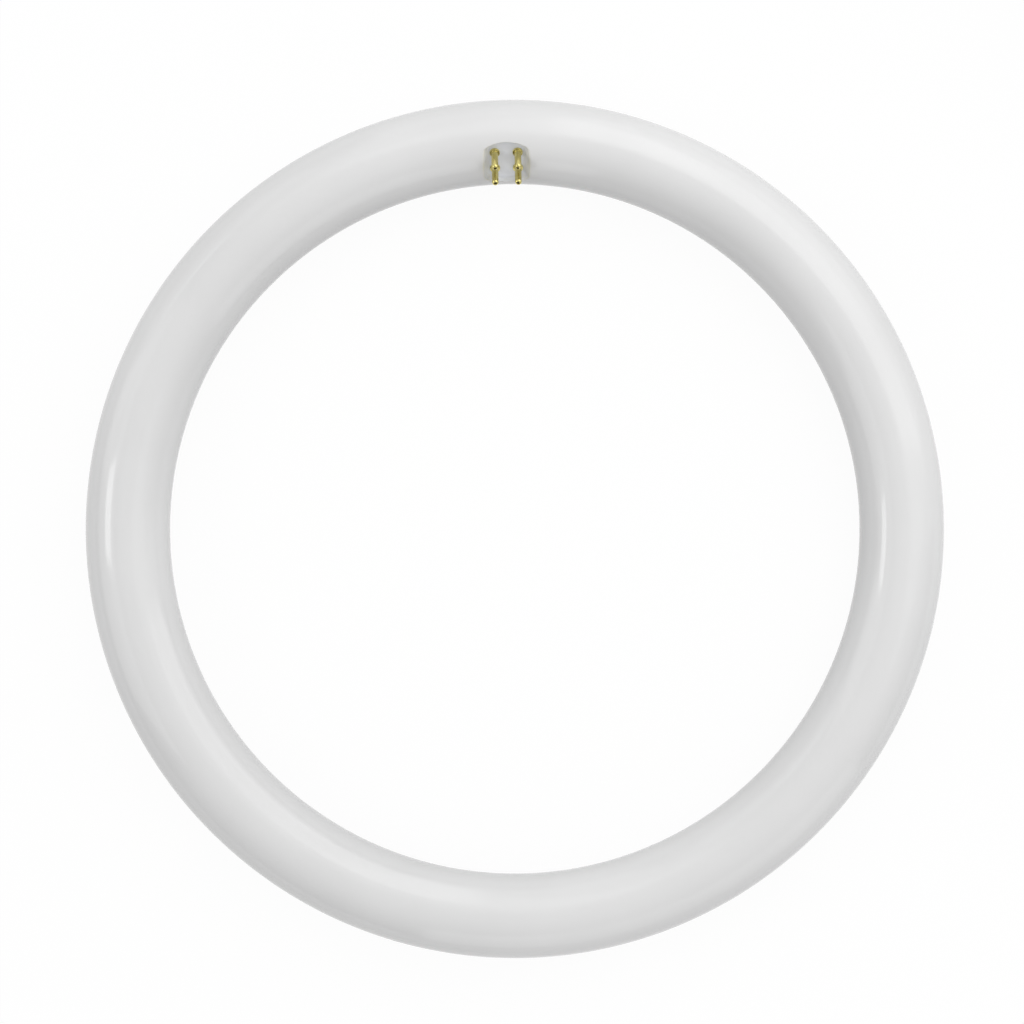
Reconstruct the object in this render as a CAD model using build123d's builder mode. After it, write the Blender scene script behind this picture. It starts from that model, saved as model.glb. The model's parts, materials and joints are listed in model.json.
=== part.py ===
"""Circular LED tube: a sealed opal ring with a four-pin base recessed into its inner front quarter.

Frame, in millimetres: the ring lies on its back on z = 0, the origin is the middle of the ring on that
surface, +Z is the ring's axis and the base is on the +Y side, its pins pointing up and inward.
"""

import os
from math import cos, radians, sin

from build123d import *
from build123d.topology import SkipClean

# Ring
ring_outer_diameter = 299.0
tube_diameter = 29.0
base_angle = 90.0  # degrees about the ring's axis from +X to the base
base_arc = 12.0  # degrees of the ring round the recess, a face of their own so that the rest meshes evenly

# Base: a recess moulded into the tube, its floor a plate that carries the pins
base_tilt = 45.0  # degrees from the plane of the ring up to the pins
pocket_depth = 4.1  # from the crest of the tube down to the floor of the recess
pocket_side_margin = 0.74  # floor beside the flanges, along the tube
pocket_end_margin = 2.63  # floor beyond the flanges, round the tube
pocket_end_radius = 12.5  # bowed upper and lower edges of the floor
pocket_corner_radius = 1.0
pocket_draft = 20.0  # degrees that the walls of the recess lean outward
mouth_chamfer = 0.2
plate_thickness = 3.2
plate_clearance = 0.08

# Contact pins
pin_spacing_along = 7.92  # between the two columns, along the tube
pin_spacing_across = 6.35  # between the two rows, round the tube
pin_diameter = 2.3
pin_length = 9.6  # from the floor of the recess to the tip
flange_diameter = 3.5
flange_height = 0.8
tip_chamfer = 0.4
pin_clearance = 0.03

# Derived sizes
tube_radius = tube_diameter / 2
ring_radius = ring_outer_diameter / 2 - tube_radius
floor_height = tube_radius - pocket_depth  # from the centre line of the tube to the floor of the recess
pocket_width = pin_spacing_along + flange_diameter + 2 * pocket_side_margin
pocket_height = pin_spacing_across + flange_diameter + 2 * pocket_end_margin
pin_radius = pin_diameter / 2
flange_radius = flange_diameter / 2

# The base is drawn across its pins: x along the tube, y round it, z out along the pins.
inward = Vector(-1, 0, 0).rotate(Axis.Z, base_angle)  # from the base to the middle of the ring
along_tube = Vector(0, -1, 0).rotate(Axis.Z, base_angle)
tube_centre = Vector(0, 0, tube_radius) - inward * ring_radius
pin_direction = inward * cos(radians(base_tilt)) + Vector(0, 0, sin(radians(base_tilt)))
base_plane = Plane(origin=tube_centre, x_dir=along_tube, z_dir=pin_direction)
floor_plane = base_plane.offset(floor_height)


def tube_section(angle):
    """The round section of the tube at an angle about the ring's axis, its seam on the inside of the ring."""
    with BuildSketch(Plane.XZ.rotated((0, 0, angle))) as section:
        with Locations(Location((ring_radius, tube_radius), 180)):
            Circle(tube_radius)
    return section.sketch


def base_outline(margin):
    """Outline of the recess floor, grown by a margin: straight sides, bowed ends, rounded corners."""
    half_width = pocket_width / 2 + margin
    half_height = pocket_height / 2 + margin
    end_radius = pocket_end_radius + margin
    corner_height = half_height - end_radius + (end_radius**2 - half_width**2) ** 0.5
    with BuildSketch(floor_plane) as outline:
        with BuildLine():
            Line((half_width, -corner_height), (half_width, corner_height))
            ThreePointArc((half_width, corner_height), (0, half_height), (-half_width, corner_height))
            Line((-half_width, corner_height), (-half_width, -corner_height))
            ThreePointArc((-half_width, -corner_height), (0, -half_height), (half_width, -corner_height))
        make_face()
        fillet(outline.vertices(), pocket_corner_radius + margin)
    return outline.sketch


# Ring tube: one closed, seamless ring, with the drafted recess and the seat of the plate under it
with BuildPart() as ring_tube:
    revolve(tube_section(base_angle - base_arc / 2), axis=Axis.Z, revolution_arc=base_arc)
    extrude(base_outline(0), amount=tube_radius, taper=-pocket_draft, mode=Mode.SUBTRACT)
    extrude(base_outline(0), amount=-plate_thickness, mode=Mode.SUBTRACT)
    skin = ring_tube.faces().filter_by(GeomType.TORUS)[0]
    chamfer(skin.inner_wires().edges(), mouth_chamfer)
    with SkipClean():
        revolve(tube_section(base_angle + base_arc / 2), axis=Axis.Z, revolution_arc=360 - base_arc)

ring_tube.part.label = "ring_tube"

# Pin base: the plate in the bottom of the recess, with four pin holes
with BuildPart() as pin_base:
    extrude(base_outline(-plate_clearance), amount=-plate_thickness)
    with BuildSketch(floor_plane):
        with GridLocations(pin_spacing_along, pin_spacing_across, 2, 2) as pin_grid:
            Circle(pin_radius + pin_clearance)
    extrude(amount=-plate_thickness, mode=Mode.SUBTRACT)

pin_base.part.label = "pin_base"

# Contact pins: turned shank through the plate, flange on the floor of the recess, bevelled tip
contact_pins = []
for number, place in enumerate(pin_grid.local_locations, start=1):
    foot = floor_plane.from_local_coords(place.position)
    with BuildPart() as contact_pin:
        with BuildSketch(Plane(origin=foot, x_dir=pin_direction, z_dir=along_tube)):
            with BuildLine():
                Polyline(
                    (pin_length, 0),
                    (-plate_thickness, 0),
                    (-plate_thickness, pin_radius),
                    (0, pin_radius),
                    (0, flange_radius),
                    (flange_height, flange_radius),
                    (flange_height, pin_radius),
                    (pin_length - tip_chamfer, pin_radius),
                    (pin_length, pin_radius - tip_chamfer),
                    close=True,
                )
            make_face()
        revolve(axis=Axis(foot, pin_direction))
    contact_pin.part.label = f"contact_pin_{number}"
    contact_pins.append(contact_pin)

os.makedirs("parts", exist_ok=True)
for piece in [ring_tube, pin_base, *contact_pins]:
    export_step(piece.part, f"parts/{piece.part.label}.step")
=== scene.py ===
"""Looks of the circular LED tube: a smooth opal ring with its moulded recess, and four turned brass pins.

Everything is in metres, in the frame of the CAD part: the ring lies on z = 0 with its middle at the origin,
and the pin base is on the +Y side, in the inner front quarter of the tube.
"""

import json
from math import atan2, cos, hypot, pi, radians, sin, sqrt, tan

import bpy
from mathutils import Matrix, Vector


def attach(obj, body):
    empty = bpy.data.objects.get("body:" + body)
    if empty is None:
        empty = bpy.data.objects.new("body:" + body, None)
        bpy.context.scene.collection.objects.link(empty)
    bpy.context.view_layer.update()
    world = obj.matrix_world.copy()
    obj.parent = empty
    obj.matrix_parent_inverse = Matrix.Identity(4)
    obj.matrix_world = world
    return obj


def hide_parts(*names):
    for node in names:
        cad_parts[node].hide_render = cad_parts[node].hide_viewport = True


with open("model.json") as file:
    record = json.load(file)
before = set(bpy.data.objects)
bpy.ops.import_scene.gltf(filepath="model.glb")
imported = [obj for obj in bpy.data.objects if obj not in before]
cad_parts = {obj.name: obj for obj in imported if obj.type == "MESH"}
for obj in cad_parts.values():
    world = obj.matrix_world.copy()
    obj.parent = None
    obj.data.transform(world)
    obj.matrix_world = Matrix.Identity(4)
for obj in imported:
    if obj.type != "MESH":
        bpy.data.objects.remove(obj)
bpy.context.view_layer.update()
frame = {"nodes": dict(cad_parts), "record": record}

MM = 0.001

# Ring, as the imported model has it
mounts = {mount["name"]: mount for mount in frame["record"]["mounts"]}
grip_place = Vector(mounts["tube_grip"]["pos_m"])  # on the tube's centre line
ring_radius = hypot(grip_place.x, grip_place.y)
tube_radius = grip_place.z

# Recess of the base, as in the CAD part
base_angle = radians(90)  # about the ring's axis, from +X
base_tilt = radians(45)  # of the pins, up from the plane of the ring
recess_depth = 4.1 * MM
recess_half_width = 6.45 * MM
recess_half_height = 7.555 * MM
recess_end_radius = 12.5 * MM
recess_corner_radius = 1.0 * MM
recess_draft = radians(20)
plate_thickness = 3.2 * MM
floor_height = tube_radius - recess_depth

# Softer edges of the recess than in the CAD part
mouth_rounding = 0.32 * MM
side_rounding = 0.5 * MM  # more than that along the straight sides
foot_rise = 1.5 * MM  # hollow rounding from the walls to the floor
foot_reach = 0.65 * MM
foot_lift = 0.01 * MM  # of its thin edge above the plate
plate_overlap = 0.07 * MM  # of the walls' foot over the gap round the plate, so that no dark line shows

# Contact pins, as in the CAD part, with rounded flanges and domed tips
pin_length = 9.6 * MM
flange_radius = 1.75 * MM
flange_height = 0.8 * MM
flange_rounding = 0.22 * MM
tip_rounding = 1.05 * MM

# Fineness of the meshes: the ring has even steps, finer in a window round the recess
window_half_turn = radians(5.5)
window_half_section = radians(48.75)
window_turn_steps = 44
window_section_steps = 52
turn_steps = 560
section_steps = 70
recess_side_steps = 14  # for a quarter of the recess's outline, as are the next two
recess_corner_steps = 14
recess_end_steps = 20
skin_rings = 9
rounding_rings = 5
wall_rings = 4
foot_rings = 5
pin_segments = 64
flange_steps = 6
neck_steps = 5
tip_steps = 14
settling_steps = 12  # enough for the places on the skin to settle
sharp_angle = radians(38)


def spread(first, last, steps):
    """Evenly spaced values from the first to the last, both included."""
    return [first + (last - first) * step / steps for step in range(steps + 1)]


def once_round(middle, half_window, window_steps, other_steps):
    """Angles once round a circle: the steps of a window about the middle, then those of the rest."""
    window = spread(middle - half_window, middle + half_window, window_steps)
    rest = spread(window[-1], window[0] + 2 * pi, other_steps)
    return window + rest[1:-1]


def bend(start, corner, finish, steps):
    """Points of a rounded corner after its start."""
    points = []
    for step in range(1, steps + 1):
        share = step / steps
        points.append(start * (1 - share) ** 2 + corner * 2 * share * (1 - share) + finish * share**2)
    return points


def tube_point(turn, section):
    """The point of the tube's skin at an angle about the ring's axis and an angle round the section."""
    reach = ring_radius + tube_radius * cos(section)
    return Vector((reach * cos(turn), reach * sin(turn), tube_radius + tube_radius * sin(section)))


def tube_normal(turn, section):
    """The outward direction of the tube's skin at the same two angles."""
    return Vector((cos(section) * cos(turn), cos(section) * sin(turn), sin(section)))


def from_base(along, across, out):
    """A point given along the tube, round it and out along the pins, from the tube's centre line."""
    radial = ring_radius + across * sin(base_tilt) - out * cos(base_tilt)
    return Vector((along, radial, tube_radius + across * cos(base_tilt) + out * sin(base_tilt)))


def skin_height(along, across):
    """How far out along the pins the tube's skin lies."""
    out = sqrt(tube_radius**2 - across**2)
    for _ in range(settling_steps):
        point = from_base(along, across, out)
        miss = (hypot(point.x, point.y) - ring_radius) ** 2 + (point.z - tube_radius) ** 2 - tube_radius**2
        out -= miss / (2 * out)
    return out


def skin_angles(along, across):
    """The two angles of the skin's point above a place of the recess."""
    point = from_base(along, across, skin_height(along, across))
    return atan2(point.y, point.x), atan2(point.z - tube_radius, hypot(point.x, point.y) - ring_radius)


def recess_outline():
    """Places and outward directions round the recess floor, from the middle of its right side."""
    end_centre = recess_half_height - recess_end_radius
    corner_x = recess_half_width - recess_corner_radius
    corner_y = end_centre + sqrt((recess_end_radius - recess_corner_radius) ** 2 - corner_x**2)
    corner_turn = atan2(corner_y - end_centre, corner_x)
    quarter = []
    for y in spread(0, corner_y, recess_side_steps)[:-1]:
        quarter.append((recess_half_width, y, 0.0))
    for turn in spread(0, corner_turn, recess_corner_steps)[:-1]:
        x = corner_x + recess_corner_radius * cos(turn)
        quarter.append((x, corner_y + recess_corner_radius * sin(turn), turn))
    for turn in spread(corner_turn, pi / 2, recess_end_steps):
        quarter.append((recess_end_radius * cos(turn), end_centre + recess_end_radius * sin(turn), turn))
    half = quarter + [(-x, y, pi - turn) for x, y, turn in reversed(quarter[:-1])]
    whole = half + [(-x, -y, turn + pi) for x, y, turn in half[1:-1]]
    return [(Vector((x, y)), Vector((cos(turn), sin(turn)))) for x, y, turn in whole]


def window_outline():
    """Grid places round the window of the ring's mesh, in step with the outline of the recess."""
    right, left = 0, window_turn_steps
    outer, inner = 0, window_section_steps
    middle = window_section_steps // 2
    path = [(right, row) for row in range(middle, outer, -1)]
    path += [(column, outer) for column in range(right, left)]
    path += [(left, row) for row in range(outer, inner)]
    path += [(column, inner) for column in range(left, right, -1)]
    path += [(right, row) for row in range(inner, middle, -1)]
    return path


def recess_profile(foot, outward):
    """From the skin down to the plate's seat, at one place of the outline: its start and its other points.

    They are given along the tube, round it and out along the pins.
    """
    edge = foot
    for _ in range(settling_steps):
        rise = skin_height(edge.x, edge.y) - floor_height
        edge = foot + outward * rise * tan(recess_draft)
    rounding = mouth_rounding + side_rounding * outward.x**2
    beyond = edge + outward * rounding
    slope = (skin_height(beyond.x, beyond.y) - floor_height - rise) / rounding
    away = Vector((outward.x, outward.y, 0))
    up = Vector((0, 0, 1))
    mouth = Vector((edge.x, edge.y, floor_height + rise))
    mouth_start = mouth + (away + up * slope).normalized() * rounding
    mouth_end = mouth - (away * sin(recess_draft) + up * cos(recess_draft)) * rounding
    bottom = Vector((foot.x, foot.y, floor_height + foot_lift))
    foot_start = bottom + (away * tan(recess_draft) + up) * foot_rise
    foot_end = bottom - away * foot_reach
    seat = bottom - away * plate_overlap
    points = bend(mouth_start, mouth, mouth_end, rounding_rings)
    points += [mouth_end.lerp(foot_start, ring / wall_rings) for ring in range(1, wall_rings + 1)]
    points += bend(foot_start, bottom, foot_end, foot_rings)
    points.append(seat - up * foot_lift / 2)
    points.append(seat - up * (foot_lift + plate_thickness))
    return mouth_start, points


def make_object(name, points, faces, normals=None):
    """A smooth mesh object. Faces meet sharply above a set angle, and given normals are kept."""
    mesh = bpy.data.meshes.new(name)
    mesh.from_pydata(points, [], faces)
    mesh.polygons.foreach_set("use_smooth", [True] * len(faces))
    mesh.set_sharp_from_angle(angle=sharp_angle)
    mesh.validate()
    if normals:
        mesh.normals_split_custom_set(normals)
    piece = bpy.data.objects.new(name, mesh)
    bpy.context.collection.objects.link(piece)
    return piece


def make_ring():
    """The whole tube: an even grid of its skin, and a finer patch with the recess in the grid's window."""
    turns = once_round(base_angle, window_half_turn, window_turn_steps, turn_steps)
    sections = once_round(pi - base_tilt, window_half_section, window_section_steps, section_steps)
    points = []
    directions = []
    faces = []
    grid = {}
    for column, turn in enumerate(turns):
        for row, section in enumerate(sections):
            inside = 0 < column < window_turn_steps and 0 < row < window_section_steps
            if not inside:
                grid[column, row] = len(points)
                points.append(tube_point(turn, section))
                directions.append(tube_normal(turn, section))
    for column in range(len(turns)):
        for row in range(len(sections)):
            if column < window_turn_steps and row < window_section_steps:
                continue
            after = (column + 1) % len(turns)
            above = (row + 1) % len(sections)
            faces.append((grid[column, row], grid[after, row], grid[after, above], grid[column, above]))

    border = window_outline()
    lines = []
    for (column, row), (foot, outward) in zip(border, recess_outline()):
        mouth_start, profile = recess_profile(foot, outward)
        mouth_turn, mouth_section = skin_angles(mouth_start.x, mouth_start.y)
        line = []
        for ring in range(1, skin_rings + 1):
            share = ring / skin_rings
            share = share * (2 - share)  # closer together towards the mouth
            turn = turns[column] + (mouth_turn - turns[column]) * share
            section = sections[row] + (mouth_section - sections[row]) * share
            line.append((tube_point(turn, section), tube_normal(turn, section)))
        line += [(from_base(*point), Vector()) for point in profile]
        lines.append(line)

    outer = [grid[place] for place in border]
    skin_faces = 0
    mouth_faces = 0
    for ring, places in enumerate(zip(*lines), start=1):
        inner = list(range(len(points), len(points) + len(places)))
        for point, direction in places:
            points.append(point)
            directions.append(direction)
        for place in range(len(inner)):
            after = (place + 1) % len(inner)
            faces.append((outer[place], outer[after], inner[after], inner[place]))
        if ring <= skin_rings:
            skin_faces = len(faces)
        if ring <= skin_rings + rounding_rings:
            mouth_faces = len(faces)
        outer = inner
    faces.append(tuple(outer))

    normals = []
    for number, face in enumerate(faces):
        for corner in face:
            normals.append(directions[corner] if number < skin_faces else Vector())
    piece = make_object("ring_tube_skin", points, faces, normals)
    # The recess's walls take the second material, the moulding lightened with painted light.
    for polygon in piece.data.polygons[mouth_faces:]:
        polygon.material_index = 1
    return piece


def pin_profile(radius):
    """Radius and height of a turned pin, from its foot in the plate to its domed tip."""
    edge = flange_rounding
    tip = tip_rounding
    profile = [(radius, -plate_thickness), (radius, 0.0)]
    profile += [(flange_radius - edge / 2, 0.0), (flange_radius, edge / 2)]
    for turn in spread(0, pi / 2, flange_steps):
        profile.append((flange_radius - edge + edge * cos(turn), flange_height - edge + edge * sin(turn)))
    for turn in spread(0, pi / 2, neck_steps):
        profile.append((radius + edge * (1 - sin(turn)), flange_height + edge * (1 - cos(turn))))
    for turn in spread(0, pi / 2, tip_steps):
        profile.append((radius - tip + tip * cos(turn), pin_length - tip + tip * sin(turn)))
    return profile


def make_pin(name, foot, axis, radius):
    """One turned pin, its flange on the floor of the recess."""
    side = Vector((1, 0, 0))
    other = axis.cross(side)
    profile = pin_profile(radius)
    points = []
    faces = []
    for reach, height in profile:
        for step in range(pin_segments):
            turn = 2 * pi * step / pin_segments
            points.append(foot + axis * height + (side * cos(turn) + other * sin(turn)) * reach)
    for row in range(len(profile) - 1):
        for step in range(pin_segments):
            after = (step + 1) % pin_segments
            low = row * pin_segments
            high = low + pin_segments
            faces.append((low + step, low + after, high + after, high + step))
    crown = len(points)
    points.append(foot + axis * pin_length)
    last = (len(profile) - 1) * pin_segments
    for step in range(pin_segments):
        faces.append((last + step, last + (step + 1) % pin_segments, crown))
    faces.append(tuple(reversed(range(pin_segments))))
    return make_object(name, points, faces)


def make_card(name, corners):
    """A flat card of four corners."""
    mesh = bpy.data.meshes.new(name)
    mesh.from_pydata(corners, [], [(0, 1, 2, 3)])
    card = bpy.data.objects.new(name, mesh)
    bpy.context.collection.objects.link(card)
    return card


def new_material(name):
    """A node material: itself, its nodes, its links and its principled shader."""
    material = bpy.data.materials.new(name)
    material.use_nodes = True
    nodes = material.node_tree.nodes
    return material, nodes, material.node_tree.links, nodes["Principled BSDF"]


def add_noise(nodes, links, scale, detail):
    """A noise pattern in the object's own metres."""
    place = nodes.new("ShaderNodeTexCoord")
    noise = nodes.new("ShaderNodeTexNoise")
    noise.inputs["Scale"].default_value = scale
    noise.inputs["Detail"].default_value = detail
    links.new(place.outputs["Object"], noise.inputs["Vector"])
    return noise.outputs["Fac"]


# Patterns of the materials, as repeats in a metre
cloud_scale = 22
gloss_scale = 160
wave_scale = 35
tone_scale = 420
polish_scale = 1500
wave_strength = 0.3
pattern_low = 0.3  # the stretch of a noise pattern that is used
pattern_high = 0.7
plastic_ior = 1.5


def add_ramp(nodes, links, pattern, low, high, target):
    """A change from one colour to another with a pattern."""
    ramp = nodes.new("ShaderNodeValToRGB")
    ramp.color_ramp.elements[0].position = pattern_low
    ramp.color_ramp.elements[0].color = (*low, 1)
    ramp.color_ramp.elements[1].position = pattern_high
    ramp.color_ramp.elements[1].color = (*high, 1)
    links.new(pattern, ramp.inputs["Fac"])
    links.new(ramp.outputs["Color"], target)


def add_range(nodes, links, pattern, low, high, target):
    """A change from one plain number to another with a pattern."""
    change = nodes.new("ShaderNodeMapRange")
    change.inputs["From Min"].default_value = pattern_low
    change.inputs["From Max"].default_value = pattern_high
    change.inputs["To Min"].default_value = low
    change.inputs["To Max"].default_value = high
    links.new(pattern, change.inputs["Value"])
    links.new(change.outputs["Result"], target)


def add_bump(nodes, links, pattern, depth, strength, target):
    """Fine relief from a pattern."""
    bump = nodes.new("ShaderNodeBump")
    bump.inputs["Distance"].default_value = depth
    bump.inputs["Strength"].default_value = strength
    links.new(pattern, bump.inputs["Height"])
    links.new(bump.outputs["Normal"], target)


def plastic(name, low, high, polished, dull, relief):
    """White moulded plastic: cloudy colour, uneven gloss and a very slight waviness."""
    material, nodes, links, shader = new_material(name)
    cloud = add_noise(nodes, links, cloud_scale, detail=3)
    add_ramp(nodes, links, cloud, low, high, shader.inputs["Base Color"])
    gloss = add_noise(nodes, links, gloss_scale, detail=4)
    add_range(nodes, links, gloss, polished, dull, shader.inputs["Roughness"])
    wave = add_noise(nodes, links, wave_scale, detail=2)
    add_bump(nodes, links, wave, relief, wave_strength, shader.inputs["Normal"])
    shader.inputs["IOR"].default_value = plastic_ior
    return material


def brass(name, low, high, polished, dull):
    """Polished turned brass with a faint change of tone along the pin."""
    material, nodes, links, shader = new_material(name)
    tone = add_noise(nodes, links, tone_scale, detail=3)
    add_ramp(nodes, links, tone, low, high, shader.inputs["Base Color"])
    polish = add_noise(nodes, links, polish_scale, detail=4)
    add_range(nodes, links, polish, polished, dull, shader.inputs["Roughness"])
    shader.inputs["Metallic"].default_value = 1.0
    return material


def dress(piece, *materials):
    """The piece shows these materials, in the order of its faces' material numbers."""
    numbers = [face.material_index for face in piece.data.polygons]
    piece.data.materials.clear()  # this sets every face back to the first material
    for material in materials:
        piece.data.materials.append(material)
    piece.data.polygons.foreach_set("material_index", numbers)


opal = plastic(
    "opal_plastic",
    low=(0.755, 0.755, 0.755),
    high=(0.785, 0.785, 0.785),
    polished=0.085,
    dull=0.125,
    relief=0.02 * MM,
)
# Partly the insert's own cool white, partly painted light: made lighter than the tube so that the shaded
# walls and floor of the recess read as bright, in place of light carried through the translucent plastic.
lightened_moulding = plastic(
    "base_plastic",
    low=(0.85, 0.875, 0.95),
    high=(0.88, 0.90, 0.97),
    polished=0.20,
    dull=0.28,
    relief=0.01 * MM,
)
pin_metal = brass(
    "pin_brass",
    low=(0.62, 0.54, 0.19),
    high=(0.74, 0.65, 0.26),
    polished=0.16,
    dull=0.28,
)

ring = make_ring()
dress(ring, opal, lightened_moulding)
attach(ring, "root")
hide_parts("ring_tube")

dress(frame["nodes"]["pin_base"], lightened_moulding)

for mount in mounts.values():
    if mount["kind"] != "pin":
        continue
    axis = Vector(mount["axis"]).normalized()
    shank = mount["dims"]["length_mm"] * MM
    foot = Vector(mount["pos_m"]) - axis * (flange_height + shank / 2)
    number = mount["name"].split("_")[1]
    pin = make_pin(f"turned_pin_{number}", foot, axis, mount["dims"]["r_mm"] * MM)
    dress(pin, pin_metal)
    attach(pin, "root")
    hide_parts(f"contact_pin_{number}")

# Floor: almost white to the camera and in reflections, with a faint shadow of the ring; duller as a source
# of bounced light, which keeps the sides of the tube as dark as in the photo
floor_half = 40.0  # wide enough to fill a low view
floor_glow_share = 0.95  # of what is seen; the rest is paper that takes the shadow
floor_glow_strength = 1.0
floor_bounce_grey = 0.2


def add_paper(nodes, grey):
    """Plain paper of one grey."""
    paper = nodes.new("ShaderNodeBsdfDiffuse")
    paper.inputs["Color"].default_value = (grey, grey, grey, 1)
    return paper.outputs[0]


def add_mix(nodes, links, first, second):
    """A mix of two shaders, from the first to the second as its factor goes from 0 to 1."""
    mix = nodes.new("ShaderNodeMixShader")
    links.new(first, mix.inputs[1])
    links.new(second, mix.inputs[2])
    return mix


def add_sight(nodes, links):
    """1 for a ray of the camera, also by way of a reflection or through glass, and 0 for bounced light."""
    path = nodes.new("ShaderNodeLightPath")
    sight = path.outputs["Is Camera Ray"]
    for kind in ("Is Glossy Ray", "Is Transmission Ray"):
        either = nodes.new("ShaderNodeMath")
        either.operation = "MAXIMUM"
        links.new(sight, either.inputs[0])
        links.new(path.outputs[kind], either.inputs[1])
        sight = either.outputs[0]
    return sight


def floor_paper():
    """White paper to the camera, in reflections and through glass; greyer as a source of bounced light."""
    material, nodes, links, _ = new_material("floor_white")
    nodes.clear()
    glow = nodes.new("ShaderNodeEmission")
    glow.inputs["Strength"].default_value = floor_glow_strength
    seen = add_mix(nodes, links, add_paper(nodes, 1.0), glow.outputs[0])
    seen.inputs["Fac"].default_value = floor_glow_share
    answer = add_mix(nodes, links, add_paper(nodes, floor_bounce_grey), seen.outputs[0])
    links.new(add_sight(nodes, links), answer.inputs["Fac"])
    surface = nodes.new("ShaderNodeOutputMaterial")
    links.new(answer.outputs[0], surface.inputs["Surface"])
    return material


floor_corners = [(x * floor_half, y * floor_half, 0) for x, y in ((-1, -1), (1, -1), (1, 1), (-1, 1))]
floor = make_card("floor", floor_corners)
dress(floor, floor_paper())

# Light: an even world and soft lamps, each named after where it stands from the middle of the ring. Angles
# are in degrees, with the azimuth from +X towards the pin base; lengths are in metres and power in watts.
world_strength = 0.44


def even_world():
    """A white world of one strength all round."""
    world = bpy.data.worlds.new("studio")
    world.use_nodes = True
    light = world.node_tree.nodes["Background"]
    light.inputs["Color"].default_value = (1, 1, 1, 1)
    light.inputs["Strength"].default_value = world_strength
    return world


bpy.context.scene.world = even_world()


def add_lamp(name, place, away, width, height, power):
    """A rectangular lamp at a place, its back to the direction away and its width level with the floor."""
    light = bpy.data.lights.new(name, "AREA")
    light.shape = "RECTANGLE"
    light.size = width
    light.size_y = height
    light.energy = power
    lamp = bpy.data.objects.new(name, light)
    lamp.location = place
    lamp.rotation_euler = away.to_track_quat("Z", "Y").to_euler()
    bpy.context.collection.objects.link(lamp)


def soft_lamp(name, azimuth, elevation, distance, width, height, power):
    """A lamp that faces the middle of the ring."""
    turn = radians(azimuth)
    rise = radians(elevation)
    away = Vector((cos(rise) * cos(turn), cos(rise) * sin(turn), sin(rise)))
    add_lamp(name, away * distance, away, width, height, power)


def standing_lamp(name, azimuth, distance, bottom, top, width, power):
    """An upright lamp beside the ring."""
    turn = radians(azimuth)
    away = Vector((cos(turn), sin(turn), 0))
    place = away * distance + Vector((0, 0, (bottom + top) / 2))
    add_lamp(name, place, away, width, top - bottom, power)


standing_lamp("near_panel", azimuth=46, distance=0.262, bottom=0.106, top=0.684, width=0.39, power=0.63)
standing_lamp("front_panel", azimuth=290, distance=0.6, bottom=0.05, top=0.5, width=0.8, power=1.0)
soft_lamp("back_right_soft", azimuth=45, elevation=43, distance=1.5, width=2.2, height=2.2, power=7.4)
soft_lamp("back_soft", azimuth=90, elevation=44, distance=1.5, width=1.1, height=1.2, power=1.5)
soft_lamp("back_low", azimuth=90, elevation=12, distance=1.5, width=1.0, height=0.5, power=0.9)
soft_lamp("back_left_soft", azimuth=145, elevation=20, distance=1.5, width=1.4, height=0.8, power=1.6)
soft_lamp("back_left_small", azimuth=141, elevation=31, distance=0.87, width=0.2, height=0.1, power=0.05)
soft_lamp("right_soft", azimuth=0, elevation=44, distance=1.5, width=1.0, height=1.2, power=0.3)
soft_lamp("right_low", azimuth=28, elevation=14, distance=1.5, width=1.7, height=0.7, power=1.6)
soft_lamp("left_soft", azimuth=180, elevation=35, distance=1.5, width=1.3, height=1.2, power=3.5)
soft_lamp("left_small", azimuth=177, elevation=38, distance=0.74, width=0.145, height=0.19, power=0.29)

# Black flag in front of the pins: only reflections see it, so that the pins' tips shade off as in the photo
flag_half_width = 9 * MM
flag_bottom = 24 * MM
flag_top = 38 * MM
flag_reach = 112 * MM
flag_grey = 0.01
flag_corners = [
    (-flag_half_width, flag_reach, flag_bottom),
    (flag_half_width, flag_reach, flag_bottom),
    (flag_half_width, flag_reach, flag_top),
    (-flag_half_width, flag_reach, flag_top),
]
flag = make_card("flag", flag_corners)
flag_material, _, _, flag_shader = new_material("flag_black")
flag_shader.inputs["Base Color"].default_value = (flag_grey, flag_grey, flag_grey, 1)
flag_shader.inputs["Roughness"].default_value = 1.0
dress(flag, flag_material)
flag.visible_camera = False
flag.visible_diffuse = False
flag.visible_shadow = False

# Camera: straight down on the ring, set so that the ring sits as in the photo
camera_height = 0.7145
camera_right = -0.98 * MM
camera_up = 5.9 * MM
camera_roll = radians(-1.32)
camera_lens = 70.5  # millimetres, as is the next
camera_sensor = 36
camera_near = 0.01
camera_far = 100  # beyond the corners of the floor
camera_data = bpy.data.cameras.new("camera")
camera_data.lens = camera_lens
camera_data.sensor_width = camera_sensor
camera_data.clip_start = camera_near
camera_data.clip_end = camera_far
camera = bpy.data.objects.new("camera", camera_data)
view_right = Vector((cos(camera_roll), sin(camera_roll), 0))
view_up = Vector((-sin(camera_roll), cos(camera_roll), 0))
camera.location = view_right * camera_right + view_up * camera_up + Vector((0, 0, camera_height))
camera.rotation_euler = (0, 0, camera_roll)
bpy.context.collection.objects.link(camera)
bpy.context.scene.camera = camera

bpy.context.scene.view_settings.view_transform = "Standard"
